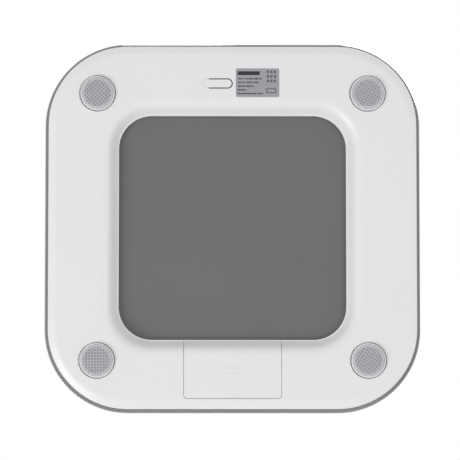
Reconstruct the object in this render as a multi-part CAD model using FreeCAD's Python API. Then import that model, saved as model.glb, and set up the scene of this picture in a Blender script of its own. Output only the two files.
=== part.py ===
import FreeCAD, Part

import math
import os

from FreeCAD import Vector

# Digital bathroom scale, standing on its feet. Millimetres. +Z is up, +Y is the display side, and the
# origin is on the ground under the middle of the platform.

# How far a cutting block runs past what it cuts, how deep joined blocks run into each other, and how
# near an edge must be to a place to belong there
over = 1.0
weld = 0.5
near_by = 0.3

# Glass platform
platform_width = 300.0
platform_depth = 296.0
platform_corner = 66.5
glass_thick = 5.0
glass_edge_bevel = 0.4
print_thick = 0.2
foam_thick = 0.8

# Tray under the glass
ground_gap = 3.5
glass_overhang = 3.2
tray_wall = 2.0
edge_slope = 6.0
edge_rise = 2.4
edge_soft = 8.0
edge_round = 1.2
rim_flange = 3.5
rim_flange_thick = 1.5
window_side_band = 59.2
window_end_band = 58.2
window_corner = 26.5
window_slope = 8.2
window_round = 10.5
window_ledge = 0.8
window_lip = 4.0
window_lip_round = 0.25
edge_ease = 0.2
window_flange = 8.0
guide_height = 2.6
rib_thick = 1.4
rib_shares = (-0.62, -0.22, 0.22, 0.62)
rib_by_board = 14.0
rib_by_well = 12.0
rib_by_corner = 16.0
foam_set = 0.6
foam_short = 0.4
foam_from_window = 1.0

# Battery cells and their cover
cell_diameter = 10.5
cell_length = 44.5
cell_nub = 1.0
cell_nub_radius = 1.9
cell_edge = 0.5
cell_gap = 0.2
cell_spacing = 0.8
cell_inset = 7.0
spring_length = 4.0
spring_turns = 3
spring_steps = 6
spring_wide = 4.0
spring_narrow = 2.3
spring_wire = 0.3
spring_play = 0.1
contact_thick = 0.4
contact_inset = 0.4
contact_cut = 1.5
tail_half = 1.5
tail_play = 0.2
well_ceiling = 1.0
well_wall = 1.5
bay_wall = 1.5
cover_half_width = 38.7
cover_edge_inset = 11.5
cover_thick = 1.8
cover_corner = 2.8
cover_gap = 0.3
cover_rim_width = 3.0
cover_rim_height = 2.3
cover_rim_play = 0.4
cover_lip_play = 0.3
scoop_radius = 9.0
scoop_half_width = 6.0
scoop_depth = 0.8
scoop_reach = 0.9
arrow_distance = 30.0
arrow_length = 5.0
arrow_half_width = 6.0
arrow_depth = 0.25
arrow_bar = 0.8
arrow_bars = ((1.0, 1.4), (1.75, 4.6))
groove_depth = 1.2
groove_height = 1.0
tongue_play = 0.15
tongue_short = 3.0
latch_width = 6.0
latch_reach = 0.6
latch_height = 3.4
latch_thick = 1.4
latch_set = 0.1
hook_low = 0.5
hook_height = 1.2

# Feet and load cells
foot_side_inset = 42.2
foot_end_inset = 41.4
foot_radius = 13.6
foot_gap = 1.0
foot_rim_gap = 1.0
foot_rim = 1.05
foot_ease = 0.5
foot_wall = 1.8
foot_ceiling = 1.6
pad_play = 0.1
pad_thick = 2.3
pad_bevel = 0.3
flange_reach = 2.3
flange_thick = 1.2
flange_play = 0.3
collar_play = 0.7
collar_wall = 1.5
hub_radius = 5.0
hub_height = 2.4
hub_tip_radius = 3.0
hub_tip_height = 1.0
hub_relief = 1.5
load_cell_side = 34.0
load_cell_thick = 2.7
load_cell_bar = 4.0
load_cell_pad = 6.0
load_cell_frame = 5.0
load_cell_corner = 1.5
load_cell_hole = 1.3
potting_clear = 0.5
potting_inset = 0.3
potting_corner = 1.0
potting_ease = 0.4
bracket_wall = 1.3
bracket_play = 0.2
bracket_drop = 2.2
bracket_relief = 2.9
bracket_corner = 2.5
bracket_grow = 0.5
bracket_inner_corner = 1.0

# Display and circuit board
lcd_width = 54.0
lcd_depth = 29.0
lcd_thick = 2.8
lcd_view_width = 50.0
lcd_view_depth = 22.0
lcd_frame_wall = 3.0
lcd_play = 0.2
lcd_corner = 0.5
lcd_seat_corner = 0.6
lcd_ledge = 5.0
zebra_height = 1.7
zebra_width = 1.8
zebra_inset = 0.6
zebra_end = 3.0
board_width = 72.0
board_depth = 38.0
board_thick = 1.6
board_corner = 1.0
board_screw_inset = 3.0
boss_radius = 2.8
screw_radius = 1.0
screw_head_radius = 2.0
screw_head_height = 1.2
screw_play = 0.3
screw_thread = 0.05
screw_hole_start = 1.5
screw_start = 2.0
cross_half = 1.2
cross_half_width = 0.25
blob_radius = 9.0
blob_sunk = 7.2
blob_x = -14.0
blob_back = 2.0
chip_width = 1.6
chip_height = 0.8
chip_length = 3.2
chip_count = 5
chip_pitch = 6.0
chip_start = -16.0
chip_inset = 5.0
small_chip_length = 2.0
small_chip_x = -27.0
small_chip_steps = (8.0, 12.0)

# Unit button and the switch that it presses
button_inset = 33.3
button_tip_x = 0.8
button_root_x = 19.1
button_end_x = 23.8
button_half_width = 3.22
button_end_half_width = 3.5
button_slot = 0.9
button_seam = 0.12
button_thick = 1.6
button_post_radius = 1.8
button_post_x = 4.6
button_free_play = 0.62
button_web_short = 4.0
button_web_half = 0.6
button_web_rise = 0.8
switch_side = 6.0
switch_height = 3.5
plunger_radius = 1.75
plunger_out = 0.8
plunger_in = 0.9
plunger_travel = 0.25
plunger_play = 0.1
plunger_floor = 0.2

# Rating label
label_width = 34.6
label_depth = 23.0
label_thick = 0.15
label_corner = 1.4
label_x = -19.9
label_inset = 32.7

# Wires
wire_radius = 0.6
wire_pitch = 1.35
wire_play = 0.1
wire_lane = 3.4
lead_out = 4.0
lead_bow = 0.6
contact_tail = 3.5
lead_hole_play = 0.4
lead_turns = (90, 60, 30, 0)
lead_solder_step = 3.5
lead_end_reach = 7.0
wire_out = 6.0
wire_turns = (0, 22, 45, 68, 90)
wire_display_inset = 26.0
wire_display_rise = 2.0
wire_display_reach = 22.0
wire_side_inset = 35.0
wire_side_reach = 18.0
wire_middle_inset = 37.0
wire_corner_reach = 14.0
wire_corner_drop = 3.0
wire_end_reach = 8.0
wire_end_rise = 0.2
solder_inset = 6.0
solder_far = 9.6
solder_near = 2.6
tape_thick = 0.15
tape_half = 4.0
tape_short = 3.0

# Heights, all worked out from the sizes above
z_bottom = ground_gap
z_floor = z_bottom + tray_wall
z_cell_axis = z_bottom + cover_thick + cell_gap + cell_diameter / 2
z_ceiling = z_cell_axis + cell_diameter / 2 + cell_gap
z_rim = z_ceiling + well_ceiling
z_lip = z_rim - window_lip
z_flange = z_rim - rim_flange_thick
z_print = z_rim + foam_thick
z_glass = z_print + print_thick
z_top = z_glass + glass_thick
z_foot_flange = z_floor + flange_play
z_foot_top = z_foot_flange + flange_thick
z_load_cell = z_foot_top + hub_height
z_load_cell_top = z_load_cell + load_cell_thick
z_lcd_top = z_print - lcd_play
z_lcd = z_lcd_top - lcd_thick
z_board_top = z_lcd - zebra_height
z_board = z_board_top - board_thick
z_wire = z_floor + guide_height + wire_play + wire_radius
z_lead = z_wire + 2 * wire_radius + wire_play
pad_radius = foot_radius - foot_rim
potting_end = load_cell_side / 2 - load_cell_frame - potting_clear

# Places seen from above, worked out the same way
half_width = platform_width / 2
half_depth = platform_depth / 2
window_half_x = half_width - window_side_band
window_half_y = half_depth - window_end_band
foot_x = half_width - foot_side_inset
foot_y = half_depth - foot_end_inset
display_y = half_depth - window_end_band / 2
button_y = half_depth - button_inset
label_y = half_depth - label_inset
cover_end_y = cover_edge_inset - half_depth
cell_pitch = cell_diameter + cell_spacing
cell_y = [-window_half_y - window_slope - cell_inset - row * cell_pitch for row in (0, 1)]
bay_half = (cell_length + spring_length + 2 * contact_thick) / 2
well_half = cover_half_width + cover_gap
slope_height = z_lip - z_bottom
slope_run = window_slope - window_ledge
solder_x = board_width / 2 - solder_inset
board_wire_x = window_half_x - window_corner - wire_corner_reach

FEET = {
    "display_left": (-1, 1),
    "display_right": (1, 1),
    "battery_left": (-1, -1),
    "battery_right": (1, -1),
}


def save(name, shape):
    """Write one piece to its own file."""
    if not shape.isValid() or shape.Volume <= 0:
        raise ValueError(name + " isn't a valid solid")
    shape.exportStep("parts/" + name + ".step")


def box(x, y, z):
    """A block between the two ends given along each axis."""
    size = [max(ends) - min(ends) for ends in (x, y, z)]
    return Part.makeBox(size[0], size[1], size[2], Vector(min(x), min(y), min(z)))


def cylinder(x, y, radius, z_low, z_high):
    """A round post along Z."""
    return Part.makeCylinder(radius, z_high - z_low, Vector(x, y, z_low))


def outline(half_x, half_y, corner, z, centre=(0.0, 0.0)):
    """A rounded rectangle as a closed wire at height z."""
    diagonal = corner / math.sqrt(2)
    edges = []
    for quarter in range(4):
        sign_x = (1, -1, -1, 1)[quarter]
        sign_y = (1, 1, -1, -1)[quarter]
        hub = Vector(centre[0] + sign_x * (half_x - corner), centre[1] + sign_y * (half_y - corner), z)
        side = hub + Vector(sign_x * corner, 0, 0)
        top = hub + Vector(0, sign_y * corner, 0)
        middle = hub + Vector(sign_x * diagonal, sign_y * diagonal, 0)
        start, end = (side, top) if quarter % 2 == 0 else (top, side)
        if edges:
            edges.append(Part.LineSegment(edges[-1].EndPoint, start))
        edges.append(Part.Arc(start, middle, end))
    edges.append(Part.LineSegment(edges[-1].EndPoint, edges[0].StartPoint))
    return Part.Wire([edge.toShape() for edge in edges])


def slab(half_x, half_y, corner, z_low, z_high, centre=(0.0, 0.0)):
    """A rounded rectangle with straight sides."""
    face = Part.Face(outline(half_x, half_y, corner, z_low, centre))
    return face.extrude(Vector(0, 0, z_high - z_low))


def edges_at(shape, z):
    """The edges that lie flat at one height."""
    return [edge for edge in shape.Edges if all(abs(v.Z - z) < 1e-4 for v in edge.Vertexes)
            and abs(edge.CenterOfMass.z - z) < 1e-4]


def placed(shape, x, y, turn=0.0, z=0.0):
    """A copy turned about Z and moved to its place."""
    copy = shape.copy()
    copy.rotate(Vector(0, 0, 0), Vector(0, 0, 1), turn)
    copy.translate(Vector(x, y, z))
    return copy


def tube(points, radius):
    """A round wire along straight runs joined by tangent arcs."""
    path = []
    last = points[0]
    for before, corner, after in zip(points, points[1:], points[2:]):
        run_in = (corner - before).normalize()
        run_out = (after - corner).normalize()
        shorter = min(corner.distanceToPoint(before), corner.distanceToPoint(after))
        reach = 0.45 * shorter
        start = corner - run_in * reach
        end = corner + run_out * reach
        turn = run_in.getAngle(run_out)
        bend = reach / math.tan(turn / 2)
        centre = corner + (run_out - run_in).normalize() * (bend / math.cos(turn / 2))
        middle = centre + (corner - centre).normalize() * bend
        path.append(Part.LineSegment(last, start).toShape())
        path.append(Part.Arc(start, middle, end).toShape())
        last = end
    path.append(Part.LineSegment(last, points[-1]).toShape())
    spine = Part.Wire(path)
    section = Part.Wire(Part.makeCircle(radius, points[0], (points[1] - points[0]).normalize()))
    return spine.makePipeShell([section], True, False)


def beside(points, shift):
    """The same route moved sideways by shift in the XY plane."""
    moved = []
    sideways = Vector(0, 0, 0)
    for index, point in enumerate(points):
        nearby = points[max(index - 1, 0):index + 2]
        along = Vector(nearby[-1].x - nearby[0].x, nearby[-1].y - nearby[0].y, 0)
        if along.Length > 1e-6:
            along.normalize()
            sideways = Vector(-along.y, along.x, 0)
        moved.append(point + sideways * shift)
    return moved


def slope_out(wall):
    """How far a wall's far side stands out sideways from the sloping window wall."""
    return wall * math.hypot(slope_run, slope_height) / slope_height


def window_core(grow):
    """The space inside the sloping window wall, grown sideways."""
    low = outline(window_half_x + window_slope + grow, window_half_y + window_slope + grow,
                  window_corner + window_slope + grow, z_bottom)
    ledge = window_ledge + grow
    lip = outline(window_half_x + ledge, window_half_y + ledge, window_corner + ledge, z_lip)
    slope = Part.makeLoft([low, lip], True, True)
    throat = slab(window_half_x + grow, window_half_y + grow, window_corner + grow, z_lip, z_rim + over)
    return slope.fuse(throat)


def tub(inset, z_low, z_high):
    """A block in the platform's outline, drawn in by inset, whose lower edge slopes up to the side."""
    side = outline(half_width - inset, half_depth - inset, platform_corner - inset, z_low + edge_rise)
    inset += edge_slope
    floor = outline(half_width - inset, half_depth - inset, platform_corner - inset, z_low)
    slope = Part.makeLoft([floor, side], True, True)
    block = slope.fuse(Part.Face(side).extrude(Vector(0, 0, z_high - z_low - edge_rise))).removeSplitter()
    block = block.makeFillet(edge_soft, edges_at(block, z_low))
    return block.makeFillet(edge_round, edges_at(block, z_low + edge_rise))


def tray_body():
    """The tray's outer form with its window, before it is hollowed."""
    body = tub(glass_overhang, z_bottom, z_rim).cut(window_core(0.0))
    inner = [edge for edge in edges_at(body, z_bottom)
             if abs(edge.CenterOfMass.x) < window_half_x + window_slope + over
             and abs(edge.CenterOfMass.y) < window_half_y + window_slope + over]
    body = body.makeFillet(window_round, inner)
    lip = [edge for edge in edges_at(body, z_lip)
           if abs(edge.CenterOfMass.x) < window_half_x + near_by
           and abs(edge.CenterOfMass.y) < window_half_y + near_by]
    return body.makeFillet(window_lip_round, lip)


def hollow(wall):
    """The space over the floor between the outer wall and the window wall."""
    return tub(glass_overhang + wall, z_bottom + wall, z_rim + over).cut(window_core(slope_out(wall)))


def cover_prism(gap, z_high):
    """The cover's outline as an upright prism that runs through the window wall."""
    half = cover_half_width + gap
    end = cover_end_y - gap
    corner = cover_corner + gap
    top = -window_half_y + over
    middle = (0, (top + end) / 2 + corner)
    block = slab(half, (top - end) / 2 + corner, corner, z_bottom - over, z_high, middle)
    return block.common(box((-half, half), (end, top), (z_bottom - over, z_high)))


def button_plate(gap, seam):
    """The unit button's outline: a tongue with a round tip and a round root."""
    tongue = button_half_width + gap
    root = button_end_half_width + seam
    height = (z_bottom, z_bottom + button_thick)
    tip_centre = button_tip_x + button_half_width
    root_centre = button_end_x - button_end_half_width
    plate = cylinder(tip_centre, button_y, tongue, *height)
    plate = plate.fuse(box((tip_centre, button_root_x), (button_y - tongue, button_y + tongue), height))
    plate = plate.fuse(cylinder(root_centre, button_y, root, *height))
    plate = plate.fuse(box((button_root_x, root_centre), (button_y - root, button_y + root), height))
    return plate.removeSplitter()


def tray():
    """The moulded tray: floor, outer wall, window wall, flanges, ribs, bosses and battery well."""
    space = hollow(tray_wall)
    body = tray_body().cut(space)
    body = body.fuse(flanges(space))
    body = body.fuse(floor_details(space))
    body = body.fuse(battery_well(space))
    body = body.removeSplitter()
    for cut in tray_cuts():
        body = body.cut(cut)
    body = body.makeFillet(edge_ease, opening_edges(body))
    return body.fuse(well_tongues()).removeSplitter()


def opening_edges(body):
    """The sharp edges of the foot holes and of the cover's opening on the flat bottom."""
    found = []
    for edge in edges_at(body, z_bottom):
        middle = edge.CenterOfMass
        foot = math.hypot(abs(middle.x) - foot_x, abs(middle.y) - foot_y) < foot_radius
        half = well_half + near_by
        cover = abs(middle.x) < half and cover_end_y - over < middle.y < -window_half_y - window_slope
        straight = abs(middle.x) > well_half - cover_corner - near_by or middle.y < cover_end_y
        if foot or (cover and straight):
            found.append(edge)
    return found


def flanges(space):
    """The ledges at the top of both walls that the foam tapes stick to."""
    wall = glass_overhang + tray_wall + rim_flange
    mouth = slab(half_width - wall, half_depth - wall, platform_corner - wall, z_flange - over, z_rim + over)
    window = slab(window_half_x + window_flange, window_half_y + window_flange,
                  window_corner + window_flange, z_flange - over, z_rim + over)
    ledge = box((-half_width, half_width), (-half_depth, half_depth), (z_flange, z_rim))
    return space.common(ledge).cut(mouth.cut(window))


def rib_boxes():
    """Low ribs across the band between the window wall and the outer wall."""
    ribs = []
    half = rib_thick / 2
    height = (z_floor - tray_wall / 2, z_floor + guide_height)
    for share in rib_shares:
        y = share * window_half_y
        for side in (-1, 1):
            ribs.append(box((0, side * half_width), (y - half, y + half), height))
    display_places = [board_width / 2 + rib_by_board, window_half_x - rib_by_corner]
    battery_places = [well_half + rib_by_well, window_half_x - rib_by_corner]
    for places, side in ((display_places, 1), (battery_places, -1)):
        for x in places:
            for hand in (-1, 1):
                ribs.append(box((hand * x - half, hand * x + half), (0, side * half_depth), height))
    return ribs


def floor_details(space):
    """Ribs, the collars round the foot holes and the board's bosses."""
    details = [rib.common(space) for rib in rib_boxes()]
    flange_radius = foot_radius + flange_reach
    for side_x, side_y in FEET.values():
        x, y = side_x * foot_x, side_y * foot_y
        bore = flange_radius + collar_play
        collar = cylinder(x, y, bore + collar_wall, z_floor - over, z_floor + guide_height)
        details.append(collar.cut(cylinder(x, y, bore, z_bottom, z_rim)))
    for x, y in board_screw_places():
        details.append(cylinder(x, y, boss_radius, z_floor - over, z_board))
    return details[0].multiFuse(details[1:])


def battery_well(space):
    """Walls and ceiling round the cells."""
    outer = well_half + well_wall
    end = cover_end_y - cover_gap
    top = -window_half_y
    block = box((-outer, outer), (end - well_wall, top), (z_floor - over, z_rim))
    inside = box((-well_half, well_half), (end, top - window_flange), (z_bottom, z_ceiling))
    mouth = box((-well_half, well_half), (end, top + over), (z_bottom, z_lip))
    wall = bay_half + bay_wall
    far_end = cell_y[1] - cell_diameter / 2 - cell_gap
    bay_low = z_bottom + cover_thick + cover_rim_height + cover_rim_play
    bay_top_y = cell_y[0] + cell_diameter / 2 + cell_gap
    bay = box((-wall, wall), (far_end - bay_wall, bay_top_y), (bay_low, z_ceiling))
    room = box((-bay_half, bay_half), (far_end, bay_top_y + over), (bay_low - over, z_ceiling + over))
    bay = bay.cut(room)
    return block.common(space).cut(inside).cut(mouth).fuse(bay)


def well_tongues():
    """Two tongues on the well's side walls that the cover's grooves slide on."""
    tongues = []
    low = z_bottom + cover_thick + tongue_play + (cover_rim_height - groove_height) / 2
    height = (low, low + groove_height - 2 * tongue_play)
    along = (cover_end_y + tongue_short, -window_half_y - window_slope - tongue_short)
    for side in (-1, 1):
        inner = side * (cover_half_width - groove_depth + 2 * tongue_play)
        tongues.append(box((inner, side * (well_half + well_wall / 2)), along, height))
    return tongues


def tray_cuts():
    """Everything that is cut through the finished tray."""
    cuts = [cover_prism(cover_gap, z_lip + cover_lip_play)]
    opening = button_plate(button_slot, button_seam)
    opening = opening.fuse(placed(opening, 0, 0, z=tray_wall - button_thick))
    cuts.append(opening)
    for side_x, side_y in FEET.values():
        cuts.append(cylinder(side_x * foot_x, side_y * foot_y, foot_radius + foot_gap, 0, z_floor + over))
    for x, y in board_screw_places():
        cuts.append(cylinder(x, y, screw_radius, z_floor + screw_hole_start, z_board + over))
    z_hook = z_bottom + cover_thick + hook_low
    for x in latch_places():
        cuts.append(box((x - latch_width / 2 - cover_gap, x + latch_width / 2 + cover_gap),
                        (cover_end_y - cover_gap - 2 * latch_reach, cover_end_y + over),
                        (z_hook - cover_gap, z_hook + hook_height + weld)))
    for y in cell_y:
        tail = contact_thick + wire_play
        side = tail_half + tail_play
        cuts.append(box((bay_half - over, bay_half + bay_wall + over), (y - side, y + side),
                        (z_lead - tail, z_lead + tail)))
        start = Vector(well_half - over, y, z_lead)
        hole = Part.makeCylinder(wire_radius + lead_hole_play, well_wall + 2 * over, start, Vector(1, 0, 0))
        cuts.append(hole)
    return cuts


def latch_places():
    """The middles of the two snap hooks, one on each side of the cells."""
    x = (bay_half + bay_wall + cover_half_width - cover_rim_width) / 2
    return [-x, x]


def battery_cover():
    """The sliding cover: a flat plate with a sloping end, side rims with grooves and two snap hooks."""
    skin = tray_body().cut(hollow(cover_thick))
    cover = skin.common(cover_prism(0.0, z_lip - cover_lip_play))
    rounded = [edge for edge in edges_at(cover, z_bottom)
               if edge.CenterOfMass.y < -window_half_y - window_slope - window_round]
    cover = cover.makeFillet(edge_ease, rounded)
    z_inner = z_bottom + cover_thick
    along = (cover_end_y + cover_corner, -window_half_y - window_slope - over)
    groove_low = z_inner + (cover_rim_height - groove_height) / 2
    groove_along = (along[0] - over, along[1] + over)
    for side in (-1, 1):
        outer = side * cover_half_width
        rim = box((outer - side * cover_rim_width, outer), along,
                  (z_inner - weld, z_inner + cover_rim_height))
        groove = box((outer - side * groove_depth, outer + side * over), groove_along,
                     (groove_low, groove_low + groove_height))
        cover = cover.fuse(rim).cut(groove)
    for x in latch_places():
        width = (x - latch_width / 2, x + latch_width / 2)
        tab = box(width, (cover_end_y + latch_set, cover_end_y + latch_set + latch_thick),
                  (z_inner - weld, z_inner + latch_height))
        hook = box(width, (cover_end_y - cover_gap - latch_reach / 2, cover_end_y + over),
                   (z_inner + hook_low, z_inner + hook_low + hook_height))
        cover = cover.fuse(tab).fuse(hook)
    scoop_y = cover_end_y + scoop_reach - scoop_radius
    scoop = cylinder(0, scoop_y, scoop_radius, z_bottom - over, z_bottom + scoop_depth)
    mouth = box((-scoop_half_width, scoop_half_width), (cover_end_y - over, cover_end_y + 2 * over),
                (0, z_rim))
    cover = cover.cut(scoop.common(mouth))
    return cover.cut(arrow_marks()).removeSplitter()


def arrow_marks():
    """A shallow arrow and two bars that show which way the cover slides."""
    tip_y = cover_end_y + arrow_distance
    base = tip_y - arrow_length
    corners = [Vector(0, tip_y, z_bottom), Vector(-arrow_half_width, base, z_bottom),
               Vector(arrow_half_width, base, z_bottom)]
    arrow = Part.Face(Part.makePolygon(corners + corners[:1])).extrude(Vector(0, 0, arrow_depth))
    bars = []
    height = (z_bottom - over, z_bottom + arrow_depth)
    for share, drop in arrow_bars:
        half = share * arrow_half_width
        bars.append(box((-half, half), (base - drop - arrow_bar, base - drop), height))
    return arrow.multiFuse(bars)


def unit_button():
    """The button tongue with the post that reaches up to the switch."""
    plate = button_plate(0.0, 0.0)
    post = cylinder(button_post_x, button_y, button_post_radius, z_bottom + weld,
                    z_board - switch_height - plunger_out - button_free_play)
    web = box((button_post_x, button_root_x - button_web_short),
              (button_y - button_web_half, button_y + button_web_half),
              (z_bottom + weld, z_bottom + button_thick + button_web_rise))
    return plate.fuse(post).fuse(web).removeSplitter()


def switch_pieces():
    """The small switch on the board's underside: body and plunger."""
    half = switch_side / 2
    low = z_board - switch_height
    body = box((button_post_x - half, button_post_x + half), (button_y - half, button_y + half),
               (low, z_board))
    well = cylinder(button_post_x, button_y, plunger_radius + plunger_play, low - over,
                    low + plunger_in + plunger_travel + plunger_floor)
    plunger = cylinder(button_post_x, button_y, plunger_radius, low - plunger_out, low + plunger_in)
    save("switch_body", body.cut(well))
    save("switch_plunger", plunger)


def glass_pieces():
    """Glass, the print on its back and the two foam tapes."""
    glass = slab(half_width, half_depth, platform_corner, z_glass, z_top)
    rims = edges_at(glass, z_glass) + edges_at(glass, z_top)
    save("glass_plate", glass.makeChamfer(glass_edge_bevel, rims))
    inset = glass_edge_bevel
    back = slab(half_width - inset, half_depth - inset, platform_corner - inset, z_print, z_glass)
    half_view = lcd_view_depth / 2
    view = box((-lcd_view_width / 2, lcd_view_width / 2), (display_y - half_view, display_y + half_view),
               (z_print - over, z_glass + over))
    save("back_print", back.cut(view))
    edge = glass_overhang + foam_set
    inner_edge = glass_overhang + tray_wall + rim_flange - foam_short
    outer_tape = slab(half_width - edge, half_depth - edge, platform_corner - edge, z_rim, z_print)
    outer_tape = outer_tape.cut(slab(half_width - inner_edge, half_depth - inner_edge,
                                     platform_corner - inner_edge, z_rim - over, z_print + over))
    save("foam_tape_outer", outer_tape)
    near = foam_from_window
    far = window_flange - foam_set
    inner_tape = slab(window_half_x + far, window_half_y + far, window_corner + far, z_rim, z_print)
    inner_tape = inner_tape.cut(slab(window_half_x + near, window_half_y + near, window_corner + near,
                                     z_rim - over, z_print + over))
    save("foam_tape_inner", inner_tape)


def board_screw_places():
    """The four places where screws hold the board."""
    x = board_width / 2 - board_screw_inset
    y = board_depth / 2 - board_screw_inset
    return [(side_x * x, display_y + side_y * y) for side_x in (-1, 1) for side_y in (-1, 1)]


def board_pieces():
    """The circuit board with its parts, screws and display."""
    half_x = board_width / 2
    half_y = board_depth / 2
    board = slab(half_x, half_y, board_corner, z_board, z_board_top, (0, display_y))
    for x, y in board_screw_places():
        board = board.cut(cylinder(x, y, screw_radius + screw_play, z_board - over, z_board_top + over))
    save("main_board", board)
    screws = []
    for x, y in board_screw_places():
        head = cylinder(x, y, screw_head_radius, z_board_top, z_board_top + screw_head_height)
        shank = cylinder(x, y, screw_radius - screw_thread, z_floor + screw_start, z_board_top)
        slot_z = (z_board_top + screw_head_height / 2, z_board_top + screw_head_height + over)
        across = (x - cross_half, x + cross_half)
        along = (y - cross_half, y + cross_half)
        cross = box(across, (y - cross_half_width, y + cross_half_width), slot_z)
        cross = cross.fuse(box((x - cross_half_width, x + cross_half_width), along, slot_z))
        screws.append(head.fuse(shank).cut(cross))
    save("board_screws", Part.makeCompound(screws))
    blob_y = display_y - blob_back
    dome = Part.makeSphere(blob_radius, Vector(blob_x, blob_y, z_board + blob_sunk))
    below = box((blob_x - blob_radius, blob_x + blob_radius), (blob_y - blob_radius, blob_y + blob_radius),
                (z_board - blob_radius, z_board))
    save("controller_blob", dome.common(below))
    half = chip_width / 2
    chips = [box((x - length / 2, x + length / 2), (y - half, y + half), (z_board - chip_height, z_board))
             for x, y, length in component_places()]
    save("small_components", Part.makeCompound(chips))


def component_places():
    """Centre and length of each small component on the board's underside."""
    row_y = display_y + board_depth / 2 - chip_inset
    row = [(chip_start + chip_pitch * step, row_y, chip_length) for step in range(chip_count)]
    pair = [(small_chip_x, display_y + step, small_chip_length) for step in small_chip_steps]
    return row + pair


def display_pieces():
    """Display glass, the frame that holds it and the two rubber contact strips."""
    half_x = lcd_width / 2
    half_y = lcd_depth / 2
    centre = (0, display_y)
    save("lcd_glass", slab(half_x, half_y, lcd_corner, z_lcd, z_lcd_top, centre))
    frame = slab(half_x + lcd_frame_wall, half_y + lcd_frame_wall, board_corner, z_board_top, z_lcd_top,
                 centre)
    seat = slab(half_x + lcd_play, half_y + lcd_play, lcd_seat_corner, z_lcd, z_lcd_top + over, centre)
    frame = frame.cut(seat)
    ledge = zebra_width + 2 * lcd_play
    strip_end = half_x - zebra_end
    slot_end = strip_end + over
    low = z_board_top - over
    for side in (-1, 1):
        outer = display_y + side * (half_y - zebra_inset)
        frame = frame.cut(box((-slot_end, slot_end), (outer, outer - side * ledge), (low, z_lcd_top)))
    save("lcd_frame", frame.cut(slab(strip_end, half_y - lcd_ledge, board_corner, low, z_lcd_top, centre)))
    strips = []
    for side in (-1, 1):
        outer = display_y + side * (half_y - zebra_inset - lcd_play)
        strips.append(box((-strip_end, strip_end), (outer, outer - side * zebra_width),
                          (z_board_top, z_lcd)))
    save("contact_strips", Part.makeCompound(strips))


def coil_spring():
    """A conical contact spring along +X: its wide end is flat against the contact at the origin."""
    steps = spring_steps * spring_turns
    flat = spring_steps / 2
    rise = spring_length - 2 * spring_wire - spring_play
    points = []
    for step in range(steps + 1):
        share = max(0.0, (step - flat) / (steps - flat))
        radius = spring_wide + (spring_narrow - spring_wide) * share
        turn = math.tau * step / spring_steps
        points.append(Vector(spring_wire + spring_play / 2 + rise * share, radius * math.cos(turn),
                             radius * math.sin(turn)))
    return tube(points, spring_wire)


def battery_pieces():
    """Two cells, their contacts, springs and the leads to the board."""
    springs = []
    for row, side in ((0, 1), (1, -1)):
        y = cell_y[row]
        radius = cell_diameter / 2
        flat = side * (bay_half - contact_thick - spring_length)
        nose = -side * (bay_half - contact_thick)
        shoulder = nose + side * cell_nub
        body = Part.makeCylinder(radius, abs(flat - shoulder), Vector(min(flat, shoulder), y, z_cell_axis),
                                 Vector(1, 0, 0))
        body = body.makeFillet(cell_edge, body.Edges)
        start = Vector(min(nose, shoulder + side * weld), y, z_cell_axis)
        nub = Part.makeCylinder(cell_nub_radius, cell_nub + weld, start, Vector(1, 0, 0))
        save("battery_cell_" + str(row + 1), body.fuse(nub).removeSplitter())
        spring = coil_spring()
        if side > 0:
            spring.rotate(Vector(0, 0, 0), Vector(0, 0, 1), 180)
        spring.translate(Vector(side * (bay_half - contact_thick), y, z_cell_axis))
        springs.append(spring)
    save("battery_springs", Part.makeCompound(springs))
    contacts()


def contacts():
    """The nickel plates at the ends of the cells."""
    plate_half = cell_diameter / 2 - contact_inset
    inner = bay_half - contact_thick
    height = (z_cell_axis - plate_half + contact_cut, z_cell_axis + plate_half)
    link = box((-bay_half, -inner), (cell_y[1] - plate_half, cell_y[0] + plate_half), height)
    save("battery_contact_link", link)
    for name, y in (("negative", cell_y[0]), ("positive", cell_y[1])):
        plate = box((inner, bay_half), (y - plate_half, y + plate_half), height)
        tail = box((inner, bay_half + bay_wall + contact_tail), (y - tail_half, y + tail_half),
                   (z_lead - contact_thick / 2, z_lead + contact_thick / 2))
        save("battery_contact_" + name, plate.fuse(tail).removeSplitter())


def corridor(side_y, turn):
    """A point beside the window wall's corner on the +X side, turned from +X."""
    foot_of_wall = window_ledge + (z_lip - z_wire) * slope_run / slope_height + slope_out(tray_wall)
    radius = window_corner + foot_of_wall + wire_lane
    angle = math.radians(turn)
    return Vector(window_half_x - window_corner + radius * math.cos(angle),
                  side_y * (window_half_y - window_corner + radius * math.sin(angle)), z_wire)


def mirrored(points, side):
    """The route on the other side of the scale when side is -1."""
    return [Vector(side * point.x, point.y, point.z) for point in points]


def up_corner(z):
    """The way along a side and round its display-side corner to the board."""
    run = [corridor(1, turn) for turn in wire_turns]
    return [Vector(point.x, point.y, z) for point in run]


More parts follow.
